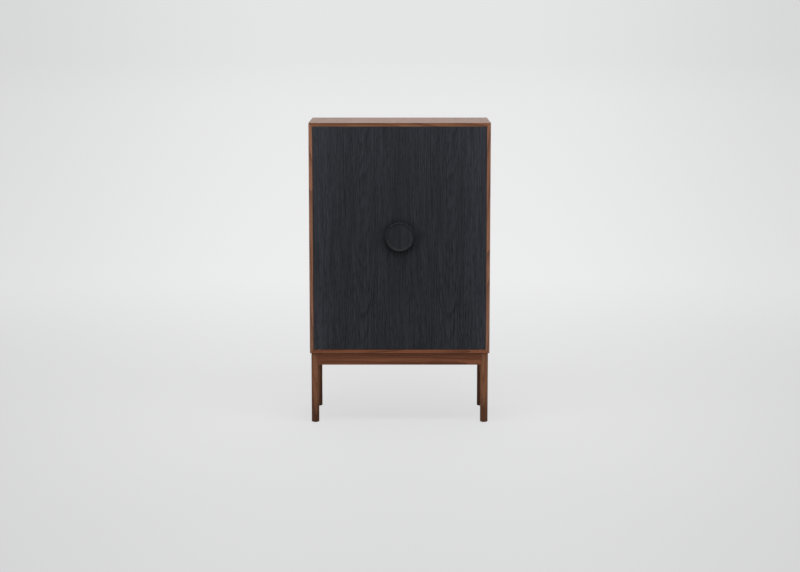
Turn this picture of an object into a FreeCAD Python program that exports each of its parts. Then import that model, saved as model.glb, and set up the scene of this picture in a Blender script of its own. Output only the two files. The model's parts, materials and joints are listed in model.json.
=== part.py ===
import FreeCAD
import Part

import math
import os

from FreeCAD import Vector

# A highboard: a mitred case on a base of round legs, with two inset doors on pivot hinges.
# Millimetres. X runs to the right, Y from the front to the back, Z up.
# The origin is on the floor, in the middle of the footprint with the handle counted in.

# Overall sizes
WIDTH = 800.0
DEPTH = 400.0            # case only, without the handle
HEIGHT = 1340.0          # floor to the top face
BASE_HEIGHT = 315.0      # floor to the underside of the case

# Case boards, mitred at the corners and joined by loose tongues
BOARD = 16.0
EDGE_EASE = 1.0
TONGUE_THICKNESS = 4.0
TONGUE_FROM_INNER = 8.0  # along the mitre, from the inner corner to the tongue's middle
TONGUE_COVER = 3.0       # wood left between the tongue and the outer face
TONGUE_STOP = 20.0       # the groove stops this far from the front and from the rebate
TONGUE_SLACK = 0.1

# Back panel, screwed into a rebate
BACK_THICKNESS = 8.0
BACK_SINK = 0.5          # the panel lies this far inside the case's rear edges
BACK_FIT = 0.5           # gap round the panel in its rebate
REBATE = 8.0
BACK_SCREW_HEAD = 6.0
BACK_SCREW_SHANK = 3.0
BACK_SCREW_LENGTH = 25.0
BACK_SCREW_END = 60.0    # from the opening's corner to the first screw
BACK_SCREW_COUNT_ACROSS = 4
BACK_SCREW_COUNT_UP = 5

# Doors
DOOR_THICKNESS = 19.0
DOOR_REVEAL = 1.5        # gap between a door and the case
MEETING_GAP = 0.8        # gap between the doors
DOOR_EASE = 0.6

# Handle: one turned disc, undercut behind its rim, dished in front and split between the doors
HANDLE_DIAMETER = 130.0
HANDLE_PROJECTION = 22.0
HANDLE_RIM = 10.0        # straight rim in front of the undercut
HANDLE_UNDERCUT = 16.0   # how far the rim stands out past the foot
HANDLE_EDGE = 3.0
HANDLE_LIP = 1.5         # flat ring between the rounded edge and the dish
HANDLE_DISH_SLOPE = 12.0 # width of the hollow that runs down to the dish's floor
HANDLE_DISH_DEPTH = 3.0
HANDLE_ABOVE_MIDDLE = 10.0
HANDLE_SCREW_HEAD = 8.0
HANDLE_SCREW_SHANK = 4.0
HANDLE_SCREW_COVER = 7.0 # wood left under the dish's floor
HANDLE_SCREW_IN = 24.0   # sideways from the meeting line
HANDLE_SCREW_UP = 26.0   # above and below the disc's centre

# Pivot hinges: a leaf let into the case, a leaf let into the door, a pin and a washer
PIVOT_FROM_EDGE = 22.0   # from the door's hinge edge to the pin's axis
PIVOT_FROM_FRONT = 7.0
LEAF_LENGTH = 46.0       # between the centres of the leaf's round ends
LEAF_WIDTH = 10.0
LEAF_THICKNESS = 2.5
LEAF_SLACK = 0.1         # round a leaf in its mortise
PIN_DIAMETER = 5.0
PIN_TAIL = 4.0           # reach of the pin past the door's leaf
PIN_SEAT = 0.01          # radial, pin in the case's leaf
PIN_CLEARANCE = 0.05     # radial, pin in the door's leaf
PIN_ROOM = 0.5           # round the pin's tail in the door
WASHER_DIAMETER = 9.0
WASHER_BORE_SLACK = 0.1
WASHER_PLAY = 0.2
LEAF_SCREW_HEAD = 6.0
LEAF_SCREW_SHANK = 3.0
LEAF_SCREW_COVER = 4.0   # wood left above a screw in a case board
LEAF_SCREW_DOOR_LENGTH = 20.0
LEAF_SCREW_FIRST = 16.0  # from the pin to the first screw
LEAF_SCREW_STEP = 24.0

# Magnetic catches under the top, and their strike plates on the doors
CATCH_LENGTH = 44.0
CATCH_HEIGHT = 16.0
CATCH_DEPTH = 16.0
CATCH_EASE = 1.5
CATCH_FROM_MIDDLE = 42.0
CATCH_GAP = 0.3          # between magnet and strike plate
MAGNET_LENGTH = 24.0
MAGNET_HEIGHT = 8.0
MAGNET_DEPTH = 5.0
MAGNET_SLACK = 0.1
CATCH_SCREW_HEAD = 6.0
CATCH_SCREW_SHANK = 3.0
CATCH_SCREW_COVER = 5.0
CATCH_SCREW_END = 5.0    # from the housing's end to its screw
STRIKE_LENGTH = 36.0
STRIKE_HEIGHT = 11.0
STRIKE_THICKNESS = 1.2
STRIKE_BELOW_TOP = 1.5   # from the door's top edge to the plate
STRIKE_SCREW_HEAD = 4.6
STRIKE_SCREW_SHANK = 2.5
STRIKE_SCREW_LENGTH = 12.0
STRIKE_SCREW_END = 6.0

# Shelves on turned pins
SHELF_NAMES = ("lower", "middle", "upper")
SHELF_THICKNESS = 16.0
SHELF_SETBACK = 18.0     # behind the closed doors
SHELF_SIDE_GAP = 1.0
SHELF_BACK_GAP = 1.0
SHELF_EASE = 1.0
SUPPORT_INSET = 45.0     # from the shelf's front and back edges to its pins
SUPPORT_STEM = 5.0
SUPPORT_STEM_LENGTH = 9.0
SUPPORT_HEAD = 7.0
SUPPORT_REACH = 10.0
SUPPORT_NOSE = 1.0
SUPPORT_SLACK = 0.05
HOLE_PITCH = 32.0
HOLES_PER_SHELF = 5

# Base: round legs with coped and tenoned rails
LEG_DIAMETER = 34.0
LEG_INSET = 5.5          # from the case's faces to the leg
LEG_CHAMFER = 1.5
RAIL_THICKNESS = 24.0
RAIL_HEIGHT = 54.0
RAIL_EASE = 1.0
GLUE_LINE = 0.15
TENON_THICKNESS = 8.0
TENON_SHOULDER = 7.0     # above and below the tenon
TENON_GAP = 1.0          # between the ends of two tenons in one leg
TENON_ROOT = 4.0         # how far the tenon's block reaches into the rail
FRAME_SCREW_HEAD = 9.0
FRAME_SCREW_HEAD_HEIGHT = 3.0
FRAME_SCREW_SHANK = 4.5
FRAME_SCREW_SEAT = 20.0  # wood under the head
FRAME_SCREW_COVER = 5.0
FRAME_SCREW_INSET = 70.0 # from the leg's axis

# Foot glides
GLIDE_STAND = 1.5
GLIDE_SEAT = 2.5
GLIDE_WALL = 4.0         # wood left round the glide
GLIDE_EDGE = 0.8
GLIDE_STEM = 6.0
GLIDE_STEM_LENGTH = 14.0
GLIDE_SLACK = 0.1

SCREW_SLACK = 0.05       # round a screw in its hole
OVERCUT = 1.0            # how far a cutting shape runs past the face that it opens

# Places that follow from the sizes
FRONT = (HANDLE_PROJECTION - DEPTH) / 2
BACK = FRONT + DEPTH
INNER_X = WIDTH / 2 - BOARD
INNER_LOW = BASE_HEIGHT + BOARD
INNER_HIGH = HEIGHT - BOARD
BACK_PANEL_REAR = BACK - BACK_SINK
BACK_PANEL_FRONT = BACK_PANEL_REAR - BACK_THICKNESS
DOOR_OUTER = INNER_X - DOOR_REVEAL
DOOR_INNER = MEETING_GAP / 2
DOOR_LOW = INNER_LOW + DOOR_REVEAL
DOOR_HIGH = INNER_HIGH - DOOR_REVEAL
DOOR_BACK = FRONT + DOOR_THICKNESS
HANDLE_Z = (DOOR_LOW + DOOR_HIGH) / 2 + HANDLE_ABOVE_MIDDLE
PIVOT_X = DOOR_OUTER - PIVOT_FROM_EDGE
PIVOT_Y = FRONT + PIVOT_FROM_FRONT
STRIKE_Z = DOOR_HIGH - STRIKE_BELOW_TOP - STRIKE_HEIGHT / 2
CATCH_FRONT = DOOR_BACK + STRIKE_THICKNESS + CATCH_GAP
SHELF_FRONT = DOOR_BACK + SHELF_SETBACK
SHELF_BACK = BACK_PANEL_FRONT - SHELF_BACK_GAP
LEG_RADIUS = LEG_DIAMETER / 2
LEG_X = WIDTH / 2 - LEG_INSET - LEG_RADIUS
LEG_FRONT_Y = FRONT + LEG_INSET + LEG_RADIUS
LEG_REAR_Y = BACK - LEG_INSET - LEG_RADIUS
LEG_MIDDLE_Y = (LEG_FRONT_Y + LEG_REAR_Y) / 2
GLIDE_RADIUS = LEG_RADIUS - GLIDE_WALL
FRAME_SCREW_LENGTH = FRAME_SCREW_SEAT + BOARD - FRAME_SCREW_COVER

UP = Vector(0, 0, 1)
TO_FRONT = Vector(0, -1, 0)
TO_BACK = Vector(0, 1, 0)
SIDES = {"left": -1, "right": 1}
ENDS = {"lower": -1, "upper": 1}


# Shared shapes

def block(low, high):
    """Box between two corners."""
    size = [b - a for a, b in zip(low, high)]
    return Part.makeBox(size[0], size[1], size[2], Vector(*low))


def side_block(side, x_near, x_far, y_range, z_range):
    """Box on the left (side -1) or the right (side 1), with x counted from the middle plane."""
    x_low, x_high = sorted((side * x_near, side * x_far))
    return block((x_low, y_range[0], z_range[0]), (x_high, y_range[1], z_range[1]))


def eased(solid, radius):
    """Solid with all its edges rounded."""
    return solid.makeFillet(radius, solid.Edges)


def prism(points, travel):
    """Solid swept along travel from a closed outline."""
    wire = Part.makePolygon(points + points[:1])
    return Part.Face(wire).extrude(travel)


def turned(outline):
    """Solid turned about Z from an outline of (radius, height) points."""
    points = [Vector(radius, 0, height) for radius, height in outline]
    wire = Part.makePolygon(points + points[:1])
    return Part.Face(wire).revolve(Vector(), UP, 360)


def placed(shape, spot, direction):
    """Copy of a shape that was made along +Z, set at spot and pointing along direction."""
    copy = shape.copy()
    copy.Placement = FreeCAD.Placement(spot, FreeCAD.Rotation(UP, direction))
    return copy


def carved(blank, tools):
    """The one solid that is left of blank when the tools are cut away."""
    solid, = blank.cut(tools).Solids
    return solid


def spread(low, high, count):
    """Evenly spaced values from low to high."""
    return [low + (high - low) * i / (count - 1) for i in range(count)]


def screw(head, shank, length):
    """Countersunk screw along +Z, with the head's face at the origin."""
    cone = (head - shank) / 2
    return turned([(0, 0), (head / 2, 0), (shank / 2, cone), (shank / 2, length), (0, length)])


def screw_hole(head, shank, length):
    """Countersunk hole for such a screw, open past the head's face."""
    wide = head / 2 + SCREW_SLACK
    narrow = shank / 2 + SCREW_SLACK
    deep = length + SCREW_SLACK
    outline = [(0, -OVERCUT), (wide, -OVERCUT), (wide, 0), (narrow, wide - narrow), (narrow, deep), (0, deep)]
    return turned(outline)


def at_spots(shape, spots):
    """Copies of a shape at a list of (place, direction) pairs."""
    return [placed(shape, spot, direction) for spot, direction in spots]


# Mitred case

def outer_corner(side, end):
    return side * WIDTH / 2, HEIGHT if end > 0 else BASE_HEIGHT


def inner_corner(side, end):
    return side * INNER_X, INNER_HIGH if end > 0 else INNER_LOW


def mitred_board(corners):
    """Board swept from front to back; the case's outer edges are eased across the mitres."""
    points = [Vector(x, FRONT, z) for x, z in corners]
    envelope = block((-WIDTH / 2, FRONT, BASE_HEIGHT), (WIDTH / 2, BACK, HEIGHT))
    return prism(points, TO_BACK * DEPTH).common(eased(envelope, EDGE_EASE))


def level_board(end):
    """Top (end 1) or bottom (end -1)."""
    outer = [outer_corner(side, end) for side in (-1, 1)]
    inner = [inner_corner(side, end) for side in (1, -1)]
    return mitred_board(outer + inner)


def upright_board(side):
    outer = [outer_corner(side, end) for end in (1, -1)]
    inner = [inner_corner(side, end) for end in (-1, 1)]
    return mitred_board(outer + inner)


def tongue(side, end, slack=0.0):
    """Loose tongue square across the mitre, as wide as the cover to the outer faces allows."""
    root = math.sqrt(0.5)
    along = Vector(-side * root, 0, -end * root)
    across = Vector(-side * root, 0, end * root)
    from_outer = BOARD / root - TONGUE_FROM_INNER
    half_width = from_outer - TONGUE_THICKNESS / 2 - TONGUE_COVER / root + slack
    half_thickness = TONGUE_THICKNESS / 2 + slack
    x, z = outer_corner(side, end)
    start = FRONT + TONGUE_STOP - slack
    stop = BACK_PANEL_FRONT - TONGUE_STOP + slack
    middle = Vector(x, start, z) + along * from_outer
    corners = [(-1, -1), (1, -1), (1, 1), (-1, 1)]
    points = [middle + along * (half_thickness * a) + across * (half_width * b) for a, b in corners]
    return prism(points, TO_BACK * (stop - start))


def tongue_grooves(side_list, end_list):
    return [tongue(side, end, TONGUE_SLACK) for side in side_list for end in end_list]


def back_rebate():
    low = (-INNER_X - REBATE, BACK_PANEL_FRONT, INNER_LOW - REBATE)
    high = (INNER_X + REBATE, BACK + OVERCUT, INNER_HIGH + REBATE)
    return block(low, high)


def back_screw_spots():
    """Screws round the back panel, on the middle of the rebate's ledge."""
    ledge = REBATE / 2
    columns = spread(-INNER_X + BACK_SCREW_END, INNER_X - BACK_SCREW_END, BACK_SCREW_COUNT_ACROSS)
    rows = spread(INNER_LOW + BACK_SCREW_END, INNER_HIGH - BACK_SCREW_END, BACK_SCREW_COUNT_UP)
    places = [(x, z) for x in columns for z in (INNER_LOW - ledge, INNER_HIGH + ledge)]
    places += [(x, z) for x in (-INNER_X - ledge, INNER_X + ledge) for z in rows]
    return [(Vector(x, BACK_PANEL_REAR, z), TO_FRONT) for x, z in places]


def back_screw_holes():
    return at_spots(screw_hole(BACK_SCREW_HEAD, BACK_SCREW_SHANK, BACK_SCREW_LENGTH), back_screw_spots())


def back_screws():
    return at_spots(screw(BACK_SCREW_HEAD, BACK_SCREW_SHANK, BACK_SCREW_LENGTH), back_screw_spots())


def back_panel():
    low = (-INNER_X - REBATE + BACK_FIT, BACK_PANEL_FRONT, INNER_LOW - REBATE + BACK_FIT)
    high = (INNER_X + REBATE - BACK_FIT, BACK_PANEL_REAR, INNER_HIGH + REBATE - BACK_FIT)
    return carved(block(low, high), back_screw_holes())


def case_top():
    tools = tongue_grooves(SIDES.values(), [1]) + [back_rebate()] + back_screw_holes()
    for side in SIDES.values():
        tools += [case_leaf_mortise(side, 1)] + leaf_screw_holes(side, 1, case_leaf_screw_spots)
        tools += catch_screw_holes(side)
    return carved(level_board(1), tools)


def case_bottom():
    tools = tongue_grooves(SIDES.values(), [-1]) + [back_rebate()] + back_screw_holes() + frame_screw_holes()
    for side in SIDES.values():
        tools += [case_leaf_mortise(side, -1)] + leaf_screw_holes(side, -1, case_leaf_screw_spots)
    return carved(level_board(-1), tools)


def case_side(side):
    tools = tongue_grooves([side], ENDS.values()) + [back_rebate()] + back_screw_holes() + support_holes(side)
    return carved(upright_board(side), tools)


# Shelves

def support_levels():
    """Heights of the pins that carry the shelves, evenly spaced in the case."""
    return spread(INNER_LOW, INNER_HIGH, len(SHELF_NAMES) + 2)[1:-1]


def support_columns():
    return [SHELF_FRONT + SUPPORT_INSET, SHELF_BACK - SUPPORT_INSET]


def support_pin():
    """Turned pin along +Z: the head stands inside the case, the stem goes into the board."""
    head = SUPPORT_HEAD / 2
    stem = SUPPORT_STEM / 2
    tip = -SUPPORT_REACH
    outline = [(0, tip), (head - SUPPORT_NOSE, tip), (head, tip + SUPPORT_NOSE), (head, 0),
               (stem, 0), (stem, SUPPORT_STEM_LENGTH), (0, SUPPORT_STEM_LENGTH)]
    return turned(outline)


def support_pins():
    spots = [(Vector(side * INNER_X, y, z), Vector(side, 0, 0))
             for side in SIDES.values() for y in support_columns() for z in support_levels()]
    return at_spots(support_pin(), spots)


def support_holes(side):
    """Rows of holes that let each shelf move up and down by whole steps."""
    hole = Part.makeCylinder(SUPPORT_STEM / 2 + SUPPORT_SLACK, SUPPORT_STEM_LENGTH + OVERCUT)
    steps = [HOLE_PITCH * (i - (HOLES_PER_SHELF - 1) / 2) for i in range(HOLES_PER_SHELF)]
    spots = [(Vector(side * INNER_X, y, z + step), Vector(side, 0, 0))
             for y in support_columns() for z in support_levels() for step in steps]
    return at_spots(hole, spots)


def shelf(level):
    underside = level + SUPPORT_HEAD / 2
    low = (SHELF_SIDE_GAP - INNER_X, SHELF_FRONT, underside)
    high = (INNER_X - SHELF_SIDE_GAP, SHELF_BACK, underside + SHELF_THICKNESS)
    return eased(block(low, high), SHELF_EASE)


# Pivot hinges

def leaf_blank(side, z_low, thickness, slack=0.0):
    """Leaf with round ends, from the pin towards the middle of the case."""
    reach = -side * LEAF_LENGTH
    half = LEAF_WIDTH / 2 + slack
    near = Vector(side * PIVOT_X, PIVOT_Y, z_low)
    far = near + Vector(reach, 0, 0)
    out = Vector(math.copysign(half, reach), 0, 0)
    front = Vector(0, -half, 0)
    edges = [
        Part.makeLine(near + front, far + front),
        Part.Arc(far + front, far + out, far - front).toShape(),
        Part.makeLine(far - front, near - front),
        Part.Arc(near - front, near - out, near + front).toShape(),
    ]
    return Part.Face(Part.Wire(edges)).extrude(UP * thickness)


def case_leaf_face(end):
    """Height of the face that a case leaf shows."""
    return INNER_HIGH if end > 0 else INNER_LOW


def door_leaf_face(end):
    return DOOR_HIGH if end > 0 else DOOR_LOW


def leaf_screw_spots(side, face, direction):
    places = [LEAF_SCREW_FIRST, LEAF_SCREW_FIRST + LEAF_SCREW_STEP]
    return [(Vector(side * (PIVOT_X - place), PIVOT_Y, face), direction) for place in places]


def case_leaf_screw_spots(side, end):
    return leaf_screw_spots(side, case_leaf_face(end), UP * end)


def door_leaf_screw_spots(side, end):
    return leaf_screw_spots(side, door_leaf_face(end), UP * -end)


def leaf_screw_length(spot_rule):
    """Case screws stop short of the board's outer face; door screws run down the door's edge."""
    return BOARD - LEAF_SCREW_COVER if spot_rule is case_leaf_screw_spots else LEAF_SCREW_DOOR_LENGTH


def leaf_screw_holes(side, end, spot_rule):
    hole = screw_hole(LEAF_SCREW_HEAD, LEAF_SCREW_SHANK, leaf_screw_length(spot_rule))
    return at_spots(hole, spot_rule(side, end))


def leaf_screws(side, end, spot_rule):
    one = screw(LEAF_SCREW_HEAD, LEAF_SCREW_SHANK, leaf_screw_length(spot_rule))
    return at_spots(one, spot_rule(side, end))


def case_leaf_low(end):
    return INNER_HIGH if end > 0 else INNER_LOW - LEAF_THICKNESS


def door_leaf_low(end):
    return DOOR_HIGH - LEAF_THICKNESS if end > 0 else DOOR_LOW


def case_leaf_mortise(side, end):
    return leaf_blank(side, case_leaf_low(end), LEAF_THICKNESS, LEAF_SLACK)


def door_leaf_mortise(side, end):
    return leaf_blank(side, door_leaf_low(end), LEAF_THICKNESS, LEAF_SLACK)


def pivot_cylinder(side, end, radius, length):
    """Cylinder on the pin's axis, from the back of the case leaf towards the door."""
    start = case_leaf_face(end) + end * LEAF_THICKNESS
    return Part.makeCylinder(radius, length, Vector(side * PIVOT_X, PIVOT_Y, start), UP * -end)


def pin_length():
    return LEAF_THICKNESS + DOOR_REVEAL + LEAF_THICKNESS + PIN_TAIL


def hinge_pin(side, end):
    return pivot_cylinder(side, end, PIN_DIAMETER / 2, pin_length())


def case_leaf(side, end):
    bore = pivot_cylinder(side, end, PIN_DIAMETER / 2 + PIN_SEAT, pin_length())
    blank = leaf_blank(side, case_leaf_low(end), LEAF_THICKNESS)
    return carved(blank, [bore] + leaf_screw_holes(side, end, case_leaf_screw_spots))


def door_leaf(side, end):
    bore = pivot_cylinder(side, end, PIN_DIAMETER / 2 + PIN_CLEARANCE, pin_length())
    blank = leaf_blank(side, door_leaf_low(end), LEAF_THICKNESS)
    return carved(blank, [bore] + leaf_screw_holes(side, end, door_leaf_screw_spots))


def washer(side, end):
    """Washer between the leaves; each lies on the leaf below it."""
    seat = DOOR_HIGH if end > 0 else INNER_LOW
    spot = Vector(side * PIVOT_X, PIVOT_Y, seat)
    thickness = DOOR_REVEAL - WASHER_PLAY
    bore = Part.makeCylinder(PIN_DIAMETER / 2 + WASHER_BORE_SLACK, thickness, spot)
    return Part.makeCylinder(WASHER_DIAMETER / 2, thickness, spot).cut(bore)


# Doors and handle

def door(side):
    slab = side_block(side, DOOR_INNER, DOOR_OUTER, (FRONT, DOOR_BACK), (DOOR_LOW, DOOR_HIGH))
    tools = handle_screw_holes(side) + strike_screw_holes(side)
    for end in ENDS.values():
        tools += [door_leaf_mortise(side, end)] + leaf_screw_holes(side, end, door_leaf_screw_spots)
        tools += [pivot_cylinder(side, end, PIN_DIAMETER / 2 + PIN_ROOM, pin_length() + PIN_ROOM)]
    return carved(eased(slab, DOOR_EASE), tools)


def handle_edge(rim):
    """Quarter round from the rim to the front."""
    start = Vector(rim, 0, HANDLE_PROJECTION - HANDLE_EDGE)
    end = Vector(rim - HANDLE_EDGE, 0, HANDLE_PROJECTION)
    bulge = HANDLE_EDGE * (1 - math.sqrt(0.5))
    middle = Vector(rim - bulge, 0, HANDLE_PROJECTION - bulge)
    return Part.Arc(start, middle, end).toShape()


def dish_hollow(outer):
    """Arc from the lip down to the dish's floor, which it meets without a step."""
    radius = (HANDLE_DISH_SLOPE ** 2 + HANDLE_DISH_DEPTH ** 2) / (2 * HANDLE_DISH_DEPTH)
    half_turn = math.asin(HANDLE_DISH_SLOPE / radius) / 2
    inner = outer - HANDLE_DISH_SLOPE
    floor = HANDLE_PROJECTION - HANDLE_DISH_DEPTH
    start = Vector(outer, 0, HANDLE_PROJECTION)
    middle = Vector(inner + radius * math.sin(half_turn), 0, floor + radius * (1 - math.cos(half_turn)))
    end = Vector(inner, 0, floor)
    return Part.Arc(start, middle, end).toShape()


def handle_disc():
    """Disc turned about +Z: foot on the door at 0, undercut, straight rim, lip and dish."""
    rim = HANDLE_DIAMETER / 2
    edge = handle_edge(rim)
    hollow = dish_hollow(rim - HANDLE_EDGE - HANDLE_LIP)
    lip = Part.makeLine(edge.Vertexes[-1].Point, hollow.Vertexes[0].Point)
    foot = Vector(rim - HANDLE_UNDERCUT, 0, 0)
    rim_back = Vector(rim, 0, HANDLE_PROJECTION - HANDLE_RIM)
    floor_middle = Vector(0, 0, HANDLE_PROJECTION - HANDLE_DISH_DEPTH)
    back = [hollow.Vertexes[-1].Point, floor_middle, Vector(), foot, rim_back, edge.Vertexes[0].Point]
    outline = Part.Wire(Part.makePolygon(back).Edges + [edge, lip, hollow])
    return Part.Face(outline).revolve(Vector(), UP, 360)


def handle(side):
    """Half of the disc, with its flat side on the meeting line."""
    disc = placed(handle_disc(), Vector(0, FRONT, HANDLE_Z), TO_FRONT)
    reach = HANDLE_DIAMETER / 2 + OVERCUT
    y_range = (FRONT - HANDLE_PROJECTION - OVERCUT, FRONT + OVERCUT)
    z_range = (HANDLE_Z - reach, HANDLE_Z + reach)
    half, = disc.common(side_block(side, DOOR_INNER, reach, y_range, z_range)).Solids
    return carved(half, handle_screw_holes(side))


def handle_screw_spots(side):
    heights = [HANDLE_Z - HANDLE_SCREW_UP, HANDLE_Z + HANDLE_SCREW_UP]
    return [(Vector(side * HANDLE_SCREW_IN, DOOR_BACK, z), TO_FRONT) for z in heights]


def handle_screw_length():
    return DOOR_THICKNESS + HANDLE_PROJECTION - HANDLE_DISH_DEPTH - HANDLE_SCREW_COVER


def handle_screw_holes(side):
    hole = screw_hole(HANDLE_SCREW_HEAD, HANDLE_SCREW_SHANK, handle_screw_length())
    return at_spots(hole, handle_screw_spots(side))


def handle_screws(side):
    one = screw(HANDLE_SCREW_HEAD, HANDLE_SCREW_SHANK, handle_screw_length())
    return at_spots(one, handle_screw_spots(side))


# Catches and strike plates

def strike_screw_spots(side):
    offset = STRIKE_LENGTH / 2 - STRIKE_SCREW_END
    columns = [CATCH_FROM_MIDDLE - offset, CATCH_FROM_MIDDLE + offset]
    return [(Vector(side * x, DOOR_BACK + STRIKE_THICKNESS, STRIKE_Z), TO_FRONT) for x in columns]


def strike_screw_holes(side):
    hole = screw_hole(STRIKE_SCREW_HEAD, STRIKE_SCREW_SHANK, STRIKE_SCREW_LENGTH)
    return at_spots(hole, strike_screw_spots(side))


def strike_screws(side):
    one = screw(STRIKE_SCREW_HEAD, STRIKE_SCREW_SHANK, STRIKE_SCREW_LENGTH)
    return at_spots(one, strike_screw_spots(side))


def strike_plate(side):
    x_range = (CATCH_FROM_MIDDLE - STRIKE_LENGTH / 2, CATCH_FROM_MIDDLE + STRIKE_LENGTH / 2)
    y_range = (DOOR_BACK, DOOR_BACK + STRIKE_THICKNESS)
    z_range = (STRIKE_Z - STRIKE_HEIGHT / 2, STRIKE_Z + STRIKE_HEIGHT / 2)
    return carved(side_block(side, *x_range, y_range, z_range), strike_screw_holes(side))


def catch_screw_spots(side):
    offset = CATCH_LENGTH / 2 - CATCH_SCREW_END
    middle_y = CATCH_FRONT + CATCH_DEPTH / 2
    columns = [CATCH_FROM_MIDDLE - offset, CATCH_FROM_MIDDLE + offset]
    return [(Vector(side * x, middle_y, INNER_HIGH - CATCH_HEIGHT), UP) for x in columns]


def catch_screw_length():
    return CATCH_HEIGHT + BOARD - CATCH_SCREW_COVER


def catch_screw_holes(side):
    hole = screw_hole(CATCH_SCREW_HEAD, CATCH_SCREW_SHANK, catch_screw_length())
    return at_spots(hole, catch_screw_spots(side))


def catch_screws(side):
    one = screw(CATCH_SCREW_HEAD, CATCH_SCREW_SHANK, catch_screw_length())
    return at_spots(one, catch_screw_spots(side))


def magnet(side, slack=0.0):
    """Magnet flush with the housing's front, level with the strike plate."""
    half = MAGNET_LENGTH / 2 + slack
    y_range = (CATCH_FRONT, CATCH_FRONT + MAGNET_DEPTH)
    z_range = (STRIKE_Z - MAGNET_HEIGHT / 2 - slack, STRIKE_Z + MAGNET_HEIGHT / 2 + slack)
    return side_block(side, CATCH_FROM_MIDDLE - half, CATCH_FROM_MIDDLE + half, y_range, z_range)


def catch(side):
    """Housing screwed up under the top, with its lower edges rounded."""
    x_range = (CATCH_FROM_MIDDLE - CATCH_LENGTH / 2, CATCH_FROM_MIDDLE + CATCH_LENGTH / 2)
    y_range = (CATCH_FRONT, CATCH_FRONT + CATCH_DEPTH)
    low = INNER_HIGH - CATCH_HEIGHT
    blank = side_block(side, *x_range, y_range, (low, INNER_HIGH))
    lower_edges = [edge for edge in blank.Edges if edge.BoundBox.ZMax < low + CATCH_EASE]
    tools = [magnet(side, MAGNET_SLACK)] + catch_screw_holes(side)
    return carved(blank.makeFillet(CATCH_EASE, lower_edges), tools)


# Base

def rail_places():
    """Rail name to (half the distance between its legs' axes, its middle, turn about Z in degrees)."""
    half_depth = (LEG_REAR_Y - LEG_FRONT_Y) / 2
    return {
        "front_apron": (LEG_X, Vector(0, LEG_FRONT_Y, 0), 0),
        "right_rail": (half_depth, Vector(LEG_X, LEG_MIDDLE_Y, 0), 90),
        "rear_apron": (LEG_X, Vector(0, LEG_REAR_Y, 0), 180),
        "left_rail": (half_depth, Vector(-LEG_X, LEG_MIDDLE_Y, 0), 270),
    }


def set_in_base(shape, middle, turn):
    copy = shape.copy()
    copy.Placement = FreeCAD.Placement(middle, FreeCAD.Rotation(UP, turn))
    return copy


def tenon(half_span, hand, slack=0.0):
    """Tenon at one end (hand -1 or 1) of a rail along X; it stops clear of the tenon at its side."""
    tip = half_span - TENON_THICKNESS / 2 - TENON_GAP + slack
    root = half_span - LEG_RADIUS - TENON_ROOT
    y_range = (-TENON_THICKNESS / 2 - slack, TENON_THICKNESS / 2 + slack)
    low = BASE_HEIGHT - RAIL_HEIGHT + TENON_SHOULDER - slack
    high = BASE_HEIGHT - TENON_SHOULDER + slack
    return side_block(hand, root, tip, y_range, (low, high))


def rail_blank(half_span):
    """Rail along X with its inner corners mitred, coped round the legs, with its lower edges eased."""
    half = RAIL_THICKNESS / 2
    low = BASE_HEIGHT - RAIL_HEIGHT
    plan = [(-half_span, -half), (half_span, -half), (half_span, 0),
            (half_span - half, half), (half - half_span, half), (-half_span, 0)]
    body = prism([Vector(x, y, low) for x, y in plan], UP * RAIL_HEIGHT)
    long_edges = [edge for edge in body.Edges if edge.BoundBox.ZMax < low + RAIL_EASE
                  and edge.BoundBox.XLength > half_span]
    copes = [Part.makeCylinder(LEG_RADIUS + GLUE_LINE, RAIL_HEIGHT, Vector(hand * half_span, 0, low))
             for hand in (-1, 1)]
    return carved(body.makeFillet(RAIL_EASE, long_edges), copes)


def rail(name):
    half_span, middle, turn = rail_places()[name]
    whole = rail_blank(half_span).fuse([tenon(half_span, hand) for hand in (-1, 1)]).removeSplitter()
    return carved(set_in_base(whole, middle, turn), frame_screw_holes())


def mortises():
    """The rails' tenons with their clearance."""
    return [set_in_base(tenon(half_span, hand, GLUE_LINE), middle, turn)
            for half_span, middle, turn in rail_places().values() for hand in (-1, 1)]


def frame_screw_spots():
    """Two screws up through each rail, at the seats of their heads."""
    spots = []
    for half_span, middle, turn in rail_places().values():
        for hand in (-1, 1):
            offset = Vector(hand * (half_span - FRAME_SCREW_INSET), 0, BASE_HEIGHT - FRAME_SCREW_SEAT)
            spots.append((middle + FreeCAD.Rotation(UP, turn).multVec(offset), UP))
    return spots


def frame_screws():
    head = FRAME_SCREW_HEAD / 2
    shank = FRAME_SCREW_SHANK / 2
    outline = [(0, -FRAME_SCREW_HEAD_HEIGHT), (head, -FRAME_SCREW_HEAD_HEIGHT), (head, 0),
               (shank, 0), (shank, FRAME_SCREW_LENGTH), (0, FRAME_SCREW_LENGTH)]
    return at_spots(turned(outline), frame_screw_spots())


def frame_screw_holes():
    """Counterbore from below and a hole for the shank, into the bottom of the case."""
    wide = FRAME_SCREW_HEAD / 2 + OVERCUT
    narrow = FRAME_SCREW_SHANK / 2 + SCREW_SLACK
    below = FRAME_SCREW_SEAT - RAIL_HEIGHT - OVERCUT
    deep = FRAME_SCREW_LENGTH + SCREW_SLACK
    outline = [(0, below), (wide, below), (wide, 0), (narrow, 0), (narrow, deep), (0, deep)]
    return at_spots(turned(outline), frame_screw_spots())


def leg_axis(side, row):
    return Vector(side * LEG_X, LEG_FRONT_Y if row == "front" else LEG_REAR_Y, 0)


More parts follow.
